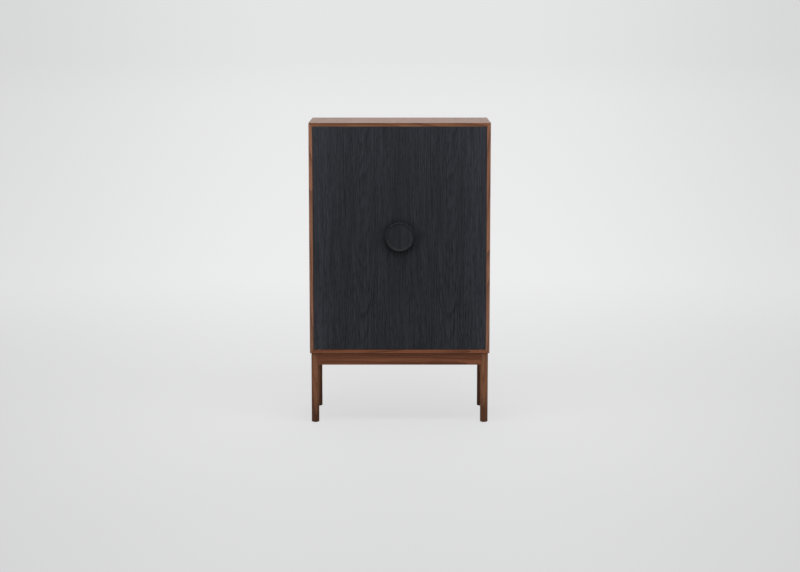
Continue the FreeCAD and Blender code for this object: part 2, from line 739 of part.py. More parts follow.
def leg(side, row):
    """Round leg, chamfered at the floor, bored for its glide and mortised for its rails."""
    seat = GLIDE_STAND + GLIDE_SEAT
    stem = GLIDE_STEM / 2 + GLIDE_SLACK
    stem_top = seat + GLIDE_STEM_LENGTH + GLIDE_SLACK
    recess = GLIDE_RADIUS + GLIDE_SLACK
    outline = [(0, stem_top), (stem, stem_top), (stem, seat), (recess, seat), (recess, GLIDE_STAND),
               (LEG_RADIUS - LEG_CHAMFER, GLIDE_STAND), (LEG_RADIUS, GLIDE_STAND + LEG_CHAMFER),
               (LEG_RADIUS, BASE_HEIGHT), (0, BASE_HEIGHT)]
    return carved(placed(turned(outline), leg_axis(side, row), UP), mortises())


def glide(side, row):
    """Glide with a stem, standing a little below the leg's end."""
    seat = GLIDE_STAND + GLIDE_SEAT
    stem = GLIDE_STEM / 2
    outline = [(0, 0), (GLIDE_RADIUS - GLIDE_EDGE, 0), (GLIDE_RADIUS, GLIDE_EDGE), (GLIDE_RADIUS, seat),
               (stem, seat), (stem, seat + GLIDE_STEM_LENGTH), (0, seat + GLIDE_STEM_LENGTH)]
    return placed(turned(outline), leg_axis(side, row), UP)


# Whole highboard

def case_pieces():
    pieces = {"case_top": case_top(), "case_bottom": case_bottom(), "back_panel": back_panel()}
    pieces["back_panel_screws"] = Part.makeCompound(back_screws())
    for name, side in SIDES.items():
        pieces[f"case_{name}_side"] = case_side(side)
        for place, end in ENDS.items():
            pieces[f"mitre_tongue_{place}_{name}"] = tongue(side, end)
    return pieces


def shelf_pieces():
    pieces = {f"shelf_{name}": shelf(level) for name, level in zip(SHELF_NAMES, support_levels())}
    pieces["shelf_pins"] = Part.makeCompound(support_pins())
    return pieces


def base_pieces():
    pieces = {name: rail(name) for name in rail_places()}
    pieces["frame_screws"] = Part.makeCompound(frame_screws())
    for row in ("front", "rear"):
        for name, side in SIDES.items():
            pieces[f"leg_{row}_{name}"] = leg(side, row)
            pieces[f"foot_glide_{row}_{name}"] = glide(side, row)
    return pieces


def case_hardware():
    """Hinge leaves, pins, lower washers and catches that stay on the case."""
    pieces = {}
    places = [(side, end) for side in SIDES.values() for end in ENDS.values()]
    pieces["hinge_pins"] = Part.makeCompound([hinge_pin(side, end) for side, end in places])
    screws = [one for side, end in places for one in leaf_screws(side, end, case_leaf_screw_spots)]
    pieces["hinge_case_screws"] = Part.makeCompound(screws)
    pieces["catch_screws"] = Part.makeCompound([one for side in SIDES.values() for one in catch_screws(side)])
    for name, side in SIDES.items():
        pieces[f"{name}_lower_hinge_washer"] = washer(side, -1)
        pieces[f"{name}_catch"] = catch(side)
        pieces[f"{name}_catch_magnet"] = magnet(side)
        for place, end in ENDS.items():
            pieces[f"{name}_{place}_hinge_case_leaf"] = case_leaf(side, end)
    return pieces


def door_pieces(name, side):
    """A door with everything that swings with it."""
    screws = [one for end in ENDS.values() for one in leaf_screws(side, end, door_leaf_screw_spots)]
    pieces = {
        f"{name}_door": door(side),
        f"{name}_handle": handle(side),
        f"{name}_handle_screws": Part.makeCompound(handle_screws(side)),
        f"{name}_hinge_door_screws": Part.makeCompound(screws),
        f"{name}_upper_hinge_washer": washer(side, 1),
        f"{name}_strike_plate": strike_plate(side),
        f"{name}_strike_screws": Part.makeCompound(strike_screws(side)),
    }
    for place, end in ENDS.items():
        pieces[f"{name}_{place}_hinge_door_leaf"] = door_leaf(side, end)
    return pieces


def all_pieces():
    pieces = {**case_pieces(), **shelf_pieces(), **base_pieces(), **case_hardware()}
    for name, side in SIDES.items():
        pieces.update(door_pieces(name, side))
    return pieces


def main():
    os.makedirs("parts", exist_ok=True)
    pieces = all_pieces()
    for name, shape in pieces.items():
        shape.exportStep(f"parts/{name}.step")
    print(len(pieces), "pieces written")


main()
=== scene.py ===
# %% [markdown]
# # A highboard in walnut and black-stained oak
# The cabinet's construction is already modelled at its real size: every board, leg, hinge and screw
# is a mesh of its own, and every mesh belongs to a body that can move. This lesson dresses it.
# Loading the model first gives a fixed frame in metres, with the floor at Z = 0 and the doors
# facing -Y. Everything made later is placed by asking that frame where things are, so nothing has
# to be fitted by eye.

# %% Load the imported model
import json
import math

import bpy
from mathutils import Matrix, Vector

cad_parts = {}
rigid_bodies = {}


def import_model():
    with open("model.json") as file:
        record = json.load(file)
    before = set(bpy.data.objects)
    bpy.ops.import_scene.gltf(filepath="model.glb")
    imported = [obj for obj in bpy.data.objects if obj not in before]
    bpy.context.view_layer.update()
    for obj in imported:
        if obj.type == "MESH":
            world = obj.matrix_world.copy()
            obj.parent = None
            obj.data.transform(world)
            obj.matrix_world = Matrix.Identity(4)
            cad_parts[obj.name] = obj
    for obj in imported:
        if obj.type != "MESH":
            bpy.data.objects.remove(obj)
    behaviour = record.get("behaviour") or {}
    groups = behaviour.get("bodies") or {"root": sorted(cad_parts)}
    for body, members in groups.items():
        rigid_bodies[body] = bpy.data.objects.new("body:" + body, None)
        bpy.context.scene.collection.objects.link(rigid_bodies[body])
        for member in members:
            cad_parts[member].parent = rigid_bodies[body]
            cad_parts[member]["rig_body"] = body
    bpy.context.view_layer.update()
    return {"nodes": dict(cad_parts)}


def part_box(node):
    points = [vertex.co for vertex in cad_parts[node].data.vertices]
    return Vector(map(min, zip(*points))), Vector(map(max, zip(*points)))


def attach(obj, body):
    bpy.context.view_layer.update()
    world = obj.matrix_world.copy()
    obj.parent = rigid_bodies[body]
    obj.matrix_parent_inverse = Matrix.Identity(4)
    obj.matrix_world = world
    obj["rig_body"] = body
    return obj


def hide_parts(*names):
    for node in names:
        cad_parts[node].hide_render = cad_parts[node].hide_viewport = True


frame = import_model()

nodes = frame["nodes"]
scene = bpy.context.scene

# %% [markdown]
# ## The camera
# The picture to match was taken with a long lens from far away: the sides of the case hardly
# converge, and only a sliver of the top shows. A camera could be placed by trial and error, but the
# corners of a box of known size fix the distance, the height, the tilt and the focal length, so
# these four measured numbers are used as they are. The focal length is kept in picture pixels,
# because that is how it was measured, and turned into millimetres for Blender's 36 mm sensor.

# %% Place the camera
SENSOR_WIDTH = 36.0
PICTURE_WIDTH = 800
FOCAL_PIXELS = 1914.6
CAMERA_DISTANCE = 8.398
CAMERA_HEIGHT = 1.850
CAMERA_ASIDE = 0.0015
CAMERA_TILT = math.radians(8.346)

case_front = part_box("case_top")[0].y
lens = bpy.data.cameras.new("long_lens")
lens.sensor_width = SENSOR_WIDTH
lens.lens = FOCAL_PIXELS * SENSOR_WIDTH / PICTURE_WIDTH
camera = bpy.data.objects.new("long_lens", lens)
camera.location = (CAMERA_ASIDE, case_front - CAMERA_DISTANCE, CAMERA_HEIGHT)
camera.rotation_euler = (math.pi / 2 - CAMERA_TILT, 0, 0)
scene.collection.objects.link(camera)
scene.camera = camera
print("focal length", round(lens.lens, 2), "mm at", [round(v, 3) for v in camera.location])

# %% [markdown]
# ## Writing nodes as sums
# A finish is a network of nodes, and clicking or typing one link at a time hides what it means.
# A small class stands for one output socket and overloads Python's operators, so that
# `1 - mask * 0.5` adds the Math nodes that say so. The plain numbers in such a sum are shares: how
# much of each layer goes in. A sheet is the tree that the nodes go on, and its one method adds any
# other kind of node: first its settings, then its sockets.

# %% A socket that can be added and multiplied
class Wire:
    """An output socket. Arithmetic on wires adds Math nodes to their sheet."""

    def __init__(self, sheet, socket):
        self.sheet = sheet
        self.socket = socket

    def maths(self, operation, *terms):
        return self.sheet.node("ShaderNodeMath", {"operation": operation}, dict(enumerate(terms)))

    def __add__(self, other):
        return self.maths("ADD", self, other)

    def __sub__(self, other):
        return self.maths("SUBTRACT", self, other)

    def __rsub__(self, other):
        return self.maths("SUBTRACT", other, self)

    def __mul__(self, other):
        return self.maths("MULTIPLY", self, other)

    def __truediv__(self, other):
        return self.maths("DIVIDE", self, other)

    __radd__ = __add__
    __rmul__ = __mul__


print("wires take + - * / and any operation of a Math node")

# %% A sheet that nodes are drawn on
OPAQUE = 1.0


class Sheet:
    """A node tree being drawn, for a finish, the surroundings or a shape."""

    def __init__(self, tree):
        self.tree = tree
        self.tree.nodes.clear()

    def node(self, kind, settings=None, sockets=None, out=0):
        """Adds a node and returns one of its outputs; sockets go by number, identifier or name."""
        made = self.tree.nodes.new(kind)
        for name, value in (settings or {}).items():
            if name == "stops":
                self.set_stops(made.color_ramp.elements, value)
            else:
                setattr(made, name, value)
        for key, value in (sockets or {}).items():
            self.plug(self.find(made.inputs, key), value)
        return Wire(self, self.find(made.outputs, out)) if made.outputs else None

    def plug(self, socket, value):
        if isinstance(value, list):
            for wire in value:
                self.tree.links.new(wire.socket, socket)
        elif isinstance(value, Wire):
            self.tree.links.new(value.socket, socket)
        elif socket.type == "RGBA":
            socket.default_value = (*value, OPAQUE)
        else:
            socket.default_value = value

    @staticmethod
    def find(sockets, key):
        if isinstance(key, int):
            return sockets[key]
        by_identifier = [s for s in sockets if s.identifier == key]
        return by_identifier[0] if by_identifier else sockets[key]

    @staticmethod
    def set_stops(elements, stops):
        while len(elements) < len(stops):
            elements.new(1.0)
        for element, (place, colour) in zip(elements, stops):
            element.position = place
            element.color = (*colour, OPAQUE)


print("sheets take finishes, surroundings and shapes")

# %% Nodes that most finishes use
def smooth(value, low, high):
    """0 below low, 1 above high and an S-curve between them."""
    limits = {"Value": value, "From Min": low, "From Max": high}
    return value.sheet.node("ShaderNodeMapRange", {"interpolation_type": "SMOOTHSTEP"}, limits)


def mixed(factor, first, second, blend="MIX"):
    """A colour between two others."""
    colours = {"Factor_Float": factor, "A_Color": first, "B_Color": second}
    settings = {"data_type": "RGBA", "blend_type": blend}
    return factor.sheet.node("ShaderNodeMix", settings, colours, "Result_Color")


def vector_maths(operation, first, second, out=0):
    """One Vector Math node; colours count as vectors."""
    settings = {"operation": operation}
    return first.sheet.node("ShaderNodeVectorMath", settings, {0: first, 1: second}, out)


def parts_of(vector):
    """The three numbers in a vector, as wires."""
    split = vector.sheet.node("ShaderNodeSeparateXYZ", sockets={0: vector})
    return [Wire(vector.sheet, socket) for socket in split.socket.node.outputs]


def new_finish(name):
    """An empty material and the sheet to draw it on."""
    material = bpy.data.materials.new(name)
    material.use_nodes = True
    return material, Sheet(material.node_tree)


def finished(sheet, colour, roughness, height, depth, **constants):
    """Ends a finish: the shader, its bump of the given depth in metres, and the output."""
    bump = {"Height": height, "Distance": depth, "Strength": 1.0}
    relief = sheet.node("ShaderNodeBump", sockets=bump)
    shader = {"Base Color": colour, "Roughness": roughness, "Normal": relief}
    shader.update({name.replace("_", " "): value for name, value in constants.items()})
    surface = sheet.node("ShaderNodeBsdfPrincipled", sockets=shader)
    sheet.node("ShaderNodeOutputMaterial", sockets={"Surface": surface})


print("node helpers: steps, mixes, vector sums and the end of a finish")

# %% [markdown]
# ## The studio
# The cabinet stands on a pale seamless sweep: a floor that runs on without a corner until it is
# simply background. A curved backdrop close behind would do for one picture, but it would stand in
# the way of a camera behind the cabinet. Here the floor is one very wide shallow bowl. Near the
# cabinet it is a matt surface that takes a faint shadow; further out it turns into an even glow that
# is brightest a few metres away and dims slowly to the rim and to both sides, so it looks seamless
# from anywhere. Such a floor would also light the front from below and flatten it. Photographers
# put up black flags against that; light linking does the same by naming what the glow may reach.

# %% The floor's finish
FLOOR_COLOUR = (0.80, 0.80, 0.805)
# The middle of the pool of light, and the metres from it over which matt gives way to glow
POOL_CENTRE = (0.0, -2.4, 0.0)
MATT_EDGE = (3.4, 7.2)
GLOW_NEAR_SHARE = 0.72
# The tones run over the logarithm of the distance, which reaches 1 near the rim
GLOW_BASE = 60.0
GLOW_TONES = (
    (0.02, (0.774, 0.776, 0.781)),
    (0.19, (0.786, 0.788, 0.793)),
    (0.39, (0.841, 0.843, 0.848)),
    (0.50, (0.848, 0.850, 0.855)),
    (0.85, (0.815, 0.817, 0.822)),
    (1.00, (0.784, 0.786, 0.791)),
)
# A fan that opens from the front to the back; outside it the glow falls off
FAN_START = 8.6
FAN_WAIST = 6.0
FAN_EDGE = (0.04, 0.25)
FAN_FALL = 0.14


def studio_floor():
    """Matt under the cabinet and glowing further out."""
    material, sheet = new_finish("studio_floor")
    spot = sheet.node("ShaderNodeTexCoord", out="Object")
    away = vector_maths("DISTANCE", spot, POOL_CENTRE, "Value")
    aside, back, _ = parts_of(spot)
    depth = back + FAN_START
    depth = depth * depth + FAN_WAIST ** 2
    fan = aside.maths("ABSOLUTE", aside) / depth.maths("SQRT", depth)
    near = 1 - smooth(away, *MATT_EDGE)
    fall = 1 - smooth(fan, *FAN_EDGE) * FAN_FALL
    reach = away.maths("LOGARITHM", away + 1, GLOW_BASE)
    tone = sheet.node("ShaderNodeValToRGB", {"stops": GLOW_TONES}, {"Fac": reach}, "Color")
    dimmer = sheet.node("ShaderNodeCombineXYZ", None, {0: fall, 1: fall, 2: fall})
    tone = vector_maths("MULTIPLY", tone, dimmer)
    matt = sheet.node("ShaderNodeBsdfDiffuse", sockets={"Color": FLOOR_COLOUR})
    glow = sheet.node("ShaderNodeEmission", sockets={"Color": tone, "Strength": 1.0})
    share = 1 - near * (1 - GLOW_NEAR_SHARE)
    surface = sheet.node("ShaderNodeMixShader", sockets={0: share, 1: matt, 2: glow})
    sheet.node("ShaderNodeOutputMaterial", sockets={"Surface": surface})
    return material


floor_finish = studio_floor()
print("floor finish:", len(floor_finish.node_tree.nodes), "nodes")

# %% The floor's shape, and the pieces that its glow may light
BOWL_PROFILE = ((60.0, 0.0), (66.0, 1.2), (70.0, 5.0), (71.0, 14.0))
BOWL_SIDES = 96
GLOW_RECEIVERS = ("case_left_side", "case_right_side", "back_panel",
                  "rear_apron", "left_rail", "right_rail")


def bowl(profile, sides):
    """Corners and faces of a round bowl: a flat middle, and a band of faces up to each next ring."""
    angles = [2 * math.pi * i / sides for i in range(sides)]
    corners = [(r * math.cos(a), r * math.sin(a), z) for r, z in profile for a in angles]
    faces = [list(range(sides))]
    for ring in range(len(profile) - 1):
        start = ring * sides
        for i in range(sides):
            j = (i + 1) % sides
            faces.append([start + j, start + i, start + sides + i, start + sides + j])
    return corners, faces


floor_mesh = bpy.data.meshes.new("studio_floor")
floor_corners, floor_faces = bowl(BOWL_PROFILE, BOWL_SIDES)
floor_mesh.from_pydata(floor_corners, [], floor_faces)
floor_mesh.materials.append(floor_finish)
floor = bpy.data.objects.new("studio_floor", floor_mesh)
scene.collection.objects.link(floor)
lit_by_floor = bpy.data.collections.new("lit_by_floor")
for receiver in [floor] + [nodes[name] for name in GLOW_RECEIVERS]:
    lit_by_floor.objects.link(receiver)
floor.light_linking.receiver_collection = lit_by_floor
print("floor faces:", len(floor_faces), "and pieces in its light:", len(GLOW_RECEIVERS))

# %% [markdown]
# ## Light
# The light in the picture is soft and comes mostly from above and a little from the front: the top
# is bright, the doors fade gently towards the bottom, and shadows have no edge. Small lamps would
# draw hard shadows, so a dim even world fills everything and wide area lamps shape it: one over the
# cabinet, one in front and above, a pair at the sides, one behind, and a weak low one in front for
# the light that a pale floor throws back. The side lamps and the low one are flagged off the floor,
# where they would leave bright patches. The plain Standard view keeps colours as they are set, which
# makes matching them straightforward.

# %% World
WORLD_COLOUR = (1.0, 1.0, 1.006)
WORLD_STRENGTH = 0.487

world = bpy.data.worlds.new("studio")
world.use_nodes = True
sky = Sheet(world.node_tree)
light = sky.node("ShaderNodeBackground", sockets={"Color": WORLD_COLOUR, "Strength": WORLD_STRENGTH})
sky.node("ShaderNodeOutputWorld", sockets={"Surface": light})
scene.world = world
scene.view_settings.view_transform = "Standard"
print("world strength:", WORLD_STRENGTH)

# %% Lamps
LAMPS = {
    "overhead": {"place": (0, -0.9, 2.5), "aim": (0, -0.1, 0.8), "size": (2.0, 0.8), "watts": 18.5},
    "front": {"place": (0, -4.6, 3.2), "aim": (0, 0, 1.1), "size": (3.2, 1.6), "watts": 18.8},
    "left": {"place": (-1.85, -1.1, 1.3), "aim": (0, -0.1, 0.9), "size": (0.6, 1.6), "watts": 7.9},
    "right": {"place": (1.85, -1.1, 1.3), "aim": (0, -0.1, 0.9), "size": (0.6, 1.6), "watts": 7.9},
    "rear": {"place": (0, 3.8, 3.4), "aim": (0, 0, 0.8), "size": (3.2, 2.0), "watts": 39.6},
    "low": {"place": (0, -1.2, 0.15), "aim": (0, -0.2, 0.45), "size": (1.6, 0.25), "watts": 1.11},
}
LAMPS_OFF_FLOOR = ("left", "right", "low")


def area_lamp(name, place, aim, size, watts):
    """A soft rectangular lamp that looks from its place at its aim."""
    lamp = bpy.data.lights.new(name, "AREA")
    lamp.shape = "RECTANGLE"
    lamp.size, lamp.size_y = size
    lamp.energy = watts
    holder = bpy.data.objects.new(name, lamp)
    holder.location = place
    holder.rotation_euler = (Vector(aim) - Vector(place)).to_track_quat("-Z", "Y").to_euler()
    holder.visible_camera = False
    scene.collection.objects.link(holder)
    return holder


def flag_off(lamp, piece):
    """Keeps the light of a lamp off one piece."""
    flagged = bpy.data.collections.new(lamp.name + "_flagged")
    flagged.objects.link(piece)
    flagged.collection_objects[0].light_linking.link_state = "EXCLUDE"
    lamp.light_linking.receiver_collection = flagged


lamps = {name: area_lamp(name, **facts) for name, facts in LAMPS.items()}
for name in LAMPS_OFF_FLOOR:
    flag_off(lamps[name], floor)
print("lamps:", ", ".join(lamps))

# %% [markdown]
# ## What all wood shares
# Wood is a bundle of cones, one inside the next: each year's ring, cut lengthwise by the saw. A
# flat picture of grain would have to be wrapped round every edge. Worked out in space instead, one
# formula gives long lines on a face, arcs on an end and arches where a board lies near the heart.
# So the coordinates are turned until Z runs along the grain, and rings are counted by the distance
# from the heart of the trunk, which leans a little against the board.

# %% Coordinates that follow the grain, and streaks along it
GRAIN_TURN = {"X": (0, math.pi / 2, 0), "Y": (-math.pi / 2, 0, 0), "Z": (0, 0, 0)}
NOISE_ROUGHNESS = 0.55
NOISE_MIDDLE = (0.5, 0.5, 0.5)
PUSH_DETAIL = 2.0


def along_grain(sheet, centre, grain):
    """Object coordinates in metres from centre, turned so that Z follows the grain."""
    spot = sheet.node("ShaderNodeTexCoord", out="Object")
    place = {"Vector": spot, "Location": centre, "Rotation": GRAIN_TURN[grain]}
    return sheet.node("ShaderNodeMapping", {"vector_type": "TEXTURE"}, place)


def streaks(spot, across, along, detail, out="Fac"):
    """Soft noise drawn out along the grain; a streak is about across wide and along long."""
    stretched = vector_maths("MULTIPLY", spot, (1 / across, 1 / across, 1 / along))
    sockets = {"Vector": stretched, "Scale": 1.0, "Detail": detail, "Roughness": NOISE_ROUGHNESS}
    return spot.sheet.node("ShaderNodeTexNoise", {"noise_dimensions": "3D"}, sockets, out)


def wavering(spot, across, along, reach):
    """The same coordinates, pushed about by up to reach, so that lines waver."""
    push = streaks(spot, across, along, PUSH_DETAIL, "Color")
    centred = vector_maths("SUBTRACT", push, NOISE_MIDDLE)
    return vector_maths("ADD", spot, vector_maths("MULTIPLY", centred, (reach, reach, 0)))


print("grain may run along", ", ".join(GRAIN_TURN))

# %% Rings, and edges that hands have rubbed
def ring_count(spot, heart, lean, width):
    """How many rings lie between a point and the heart of the trunk."""
    across, deep, along = parts_of(spot)
    aside = across - heart[0] - along * lean[0]
    behind = deep - heart[1] - along * lean[1]
    square = aside * aside + behind * behind
    return square.maths("SQRT", square) / width


def ring_shades(rings):
    """The place within a ring, from 0 to 1, and a shade that differs from ring to ring."""
    whole = rings.maths("FLOOR", rings)
    shade = rings.sheet.node("ShaderNodeTexWhiteNoise", {"noise_dimensions": "1D"}, {"W": whole})
    return rings - whole, shade


def worn_edges(sheet, low, high, reach):
    """1 on the edges of a box-shaped piece, fading to 0 at reach from them."""
    spot = sheet.node("ShaderNodeTexCoord", out="Object")
    centred = vector_maths("SUBTRACT", spot, (low + high) / 2)
    flat = sheet.node("ShaderNodeVectorMath", {"operation": "ABSOLUTE"}, {0: centred})
    sides = {0: (high - low) / 2, 1: flat}
    x, y, z = parts_of(sheet.node("ShaderNodeVectorMath", {"operation": "SUBTRACT"}, sides))
    nearest_two = x.maths("MINIMUM", x.maths("MAXIMUM", x, y), z)
    second_nearest = x.maths("MAXIMUM", x.maths("MINIMUM", x, y), nearest_two)
    return 1 - smooth(second_nearest, 0.0, reach)


print("wood helpers: ring count, ring shades and worn edges")

# %% [markdown]
# ## Walnut
# The case, the shelves and the base are walnut with a thin satin oil. Its colour drifts between
# chocolate and warm tan in long bands, the rings draw soft darker lines, and short pores lie
# scattered along the grain like fine scratches. One wood texture for all boards would repeat from
# board to board, so each gets its own place in the tree. Some pieces also get their own lightness
# and tint. This is partly the board's own tone and partly painted light and shade: faces and legs of
# the same walnut are made lighter or darker, warmer or cooler, by how light falls on them. The pores
# are sunk with a bump, the handled edges are a little paler, and the lowest part of each leg is
# painted darker towards the floor, a painted shade.

# %% Walnut, its colours and its figure
WALNUT_TONES = (
    (0.00, (0.050, 0.017, 0.008)),
    (0.32, (0.127, 0.045, 0.021)),
    (0.62, (0.214, 0.083, 0.039)),
    (1.00, (0.330, 0.142, 0.070)),
)
WALNUT_PORE = (0.030, 0.012, 0.007)
WALNUT_WORN = (0.330, 0.170, 0.100)
WALNUT_BASE = -0.13
# Width, length and detail of the streaks
WALNUT_BAND = (0.055, 1.1, 3.0)
WALNUT_RIBBON = (0.012, 0.35, 3.0)
WALNUT_FIBRE = (0.0016, 0.10, 2.0)
WALNUT_DASH = (0.0006, 0.009, 0.0)
WALNUT_PORE_EDGE = (0.64, 0.74)
# Width and length of a waver, and how far it pushes a line aside
WALNUT_SWAY = (0.10, 0.9, 0.030)
WALNUT_QUIVER = (0.02, 0.25, 0.004)
# Rings: their width, the dark late part of each, and how the trunk leans against a board
WALNUT_RING = 0.0065
WALNUT_LATE = (0.45, 0.97)
WALNUT_LEAN = (0.010, 0.028)
APRON_LEAN = (0.001, 0.002)
WALNUT_RUBBED = 0.004
WALNUT_RELIEF = 0.00018
WALNUT_GLOSS = 0.28
# Painted shade: each leg darkens by this share from this height down to the floor
FOOT_SHADE_HEIGHT = 0.19
FOOT_PAINTED_SHADE = 0.56
print("walnut tones:", len(WALNUT_TONES), "and rings of", WALNUT_RING, "m")

# %% Walnut on the case, the shelves and the base
WALNUT_GRAIN = {
    "X": ["case_top", "case_bottom", "shelf_lower", "shelf_middle", "shelf_upper",
          "front_apron", "rear_apron"],
    "Y": ["left_rail", "right_rail"],
    "Z": ["case_left_side", "case_right_side", "back_panel", "leg_front_left", "leg_front_right",
          "leg_rear_left", "leg_rear_right"],
}
# Lightness per piece: partly the board's own tone, partly painted light and shade by how light falls
# on each face and leg
WALNUT_TONE_AND_PAINTED_LIGHT = {
    "case_bottom": 0.10,
    "case_left_side": -0.07,
    "case_right_side": -0.07,
    "front_apron": -0.07,
    "leg_front_left": 0.09,
    "leg_front_right": 0.30,
    "leg_rear_left": 0.45,
    "leg_rear_right": 0.05,
}
# Tint per piece: partly the board's own colour, partly painted light, such as a cooler sheen on the
# top and sides
WALNUT_TINT_AND_PAINTED_LIGHT = {
    "case_top": (0.97, 1.03, 1.05),
    "case_left_side": (0.93, 1.00, 1.08),
    "case_right_side": (0.93, 1.00, 1.08),
    "case_bottom": (1.04, 0.87, 0.77),
    "front_apron": (1.04, 0.89, 0.80),
}
# From one board to the next: the step through the tree, and how the heart of the trunk moves about
TREE_STEP = Vector((0.37, 0.91, 1.73))
HEART_BEHIND = 0.11
HEART_REACH = (0.05, 0.04)
HEART_STEP = (2.4, 1.7)


def heart_of(number):
    """Where the heart of the trunk lies, seen from the middle of a board."""
    aside = HEART_REACH[0] * math.sin(HEART_STEP[0] * number)
    behind = HEART_BEHIND + HEART_REACH[1] * math.cos(HEART_STEP[1] * number)
    return aside, behind


def near_floor(sheet, height):
    """1 on the floor, fading to 0 at a height above it."""
    up = parts_of(sheet.node("ShaderNodeTexCoord", out="Object"))[2]
    return 1 - smooth(up, 0.0, height)


def walnut(piece, grain, number):
    """Oiled walnut for one board; its number says where in the tree it was cut."""
    low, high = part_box(piece)
    material, sheet = new_finish("walnut_" + piece)
    spot = along_grain(sheet, (low + high) / 2, grain)
    own = vector_maths("ADD", spot, TREE_STEP * number)
    bent = wavering(own, *WALNUT_SWAY)
    bent = wavering(bent, *WALNUT_QUIVER)
    centred = vector_maths("SUBTRACT", bent, TREE_STEP * number)
    lean = APRON_LEAN if piece == "front_apron" else WALNUT_LEAN
    rings = ring_count(centred, heart_of(number), lean, WALNUT_RING)
    place, shade = ring_shades(rings)
    late = smooth(place, *WALNUT_LATE)
    band = streaks(bent, *WALNUT_BAND)
    ribbon = streaks(own, *WALNUT_RIBBON)
    fibre = streaks(own, *WALNUT_FIBRE)
    pore = smooth(streaks(own, *WALNUT_DASH), *WALNUT_PORE_EDGE)
    # The piece's lightness, partly painted light and shade
    base = WALNUT_TONE_AND_PAINTED_LIGHT.get(piece, 0.0) + WALNUT_BASE
    tone = base + band * 0.60 + ribbon * 0.66 + fibre * 0.20 + shade * 0.14 - late * 0.30
    colour = sheet.node("ShaderNodeValToRGB", {"stops": WALNUT_TONES}, {"Fac": tone}, "Color")
    colour = mixed(pore * 0.60, colour, WALNUT_PORE)
    colour = mixed(worn_edges(sheet, low, high, WALNUT_RUBBED) * 0.22, colour, WALNUT_WORN)
    # The piece's tint, partly painted light
    if piece in WALNUT_TINT_AND_PAINTED_LIGHT:
        colour = vector_maths("MULTIPLY", colour, WALNUT_TINT_AND_PAINTED_LIGHT[piece])
    # Painted shade, darker towards the floor
    if piece.startswith("leg"):
        colour = mixed(near_floor(sheet, FOOT_SHADE_HEIGHT) * FOOT_PAINTED_SHADE, colour, WALNUT_PORE)
    roughness = 0.40 + fibre * 0.10 + pore * 0.22 - ribbon * 0.06
    height = fibre * 0.35 - pore - late * 0.12
    finished(sheet, colour, roughness, height, WALNUT_RELIEF, Specular_IOR_Level=WALNUT_GLOSS)
    return material


def dress(piece, material):
    """Gives a piece of the model its finish."""
    nodes[piece].material_slots[0].material = material


number = 0
for grain, pieces in WALNUT_GRAIN.items():
    for piece in pieces:
        number += 1
        dress(piece, walnut(piece, grain, number))
print("walnut pieces:", number)

# %% [markdown]
# ## Black-stained oak
# The doors and the round pull are oak veneer, stained blue-black under matt lacquer. Oak is a
# coarse wood: every spring it lays down a row of open pores, which the stain fills, so the figure
# still shows as fine dark dashes and thin light lines in slightly greyer summer wood. Both leaves
# are cut from neighbouring sheets, so the same arches appear on each, just right of the middle. One
# formula across both doors would miss that, so it is centred on each leaf in turn. Use shows on
# the edges, which are rubbed paler. The outer strips are lighter, a painted sheen, and the wood round
# the pull is darker, a painted shade. So is the pull's rim, partly where the cut ends of the grain
# have drunk more stain and partly painted shade, most of all below.

# %% Stained oak, its colours and its figure
OAK_DARK = (0.0121, 0.0131, 0.0164)
OAK_GREY = (0.0412, 0.0441, 0.0536)
OAK_PORE = (0.0030, 0.0030, 0.0036)
OAK_WORN = (0.0520, 0.0540, 0.0620)
# Width, length and detail of the streaks
OAK_BAND = (0.035, 0.8, 3.0)
OAK_RIBBON = (0.0045, 0.28, 2.0)
OAK_LINE = (0.0022, 0.22, 1.0)
OAK_DASH = (0.0013, 0.035, 1.0)
OAK_LINE_EDGE = (0.50, 0.72)
OAK_PORE_EDGE = (0.54, 0.70)
OAK_GREY_EDGE = (0.22, 1.05)
# Width and length of a waver, and how far it pushes a line aside
OAK_SWAY = (0.06, 0.45, 0.016)
OAK_QUIVER = (0.010, 0.07, 0.0022)
# Rings: their width, the porous early part of each, and how the trunk leans against a sheet
OAK_RING = 0.0042
OAK_EARLY = (0.12, 0.55)
OAK_LEAN = (0.004, -0.045)
OAK_RELIEF = 0.00030
OAK_GLOSS = 0.22
print("oak rings of", OAK_RING, "m")

# %% Wear, painted sheen and painted shade on the doors and the pull
# Metres from the meeting line over which the outer strips get their painted sheen, and from a door's
# edges for their wear
OUTER_SHEEN_STRIP = (0.27, 0.378)
DOOR_RUBBED = 0.003
# Metres from the pull's outline, outwards: the ring of painted shade round the pull, and the painted
# shade on its rim
PULL_SHADE_REACH = (-0.005, 0.040)
RIM_SHADE_REACH = (-0.011, -0.003)
PULL_BOX = (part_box("left_handle")[0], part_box("right_handle")[1])
PULL_CENTRE = (PULL_BOX[0] + PULL_BOX[1]) / 2
PULL_RADIUS = (PULL_BOX[1].x - PULL_BOX[0].x) / 2
MILLIMETRES = 1000


def from_pull(sheet):
    """How far a point lies outside the outline of the round pull, and how far above its centre."""
    spot = sheet.node("ShaderNodeTexCoord", out="Object")
    across, _, up = parts_of(vector_maths("SUBTRACT", spot, PULL_CENTRE))
    square = across * across + up * up
    return square.maths("SQRT", square) - PULL_RADIUS, up


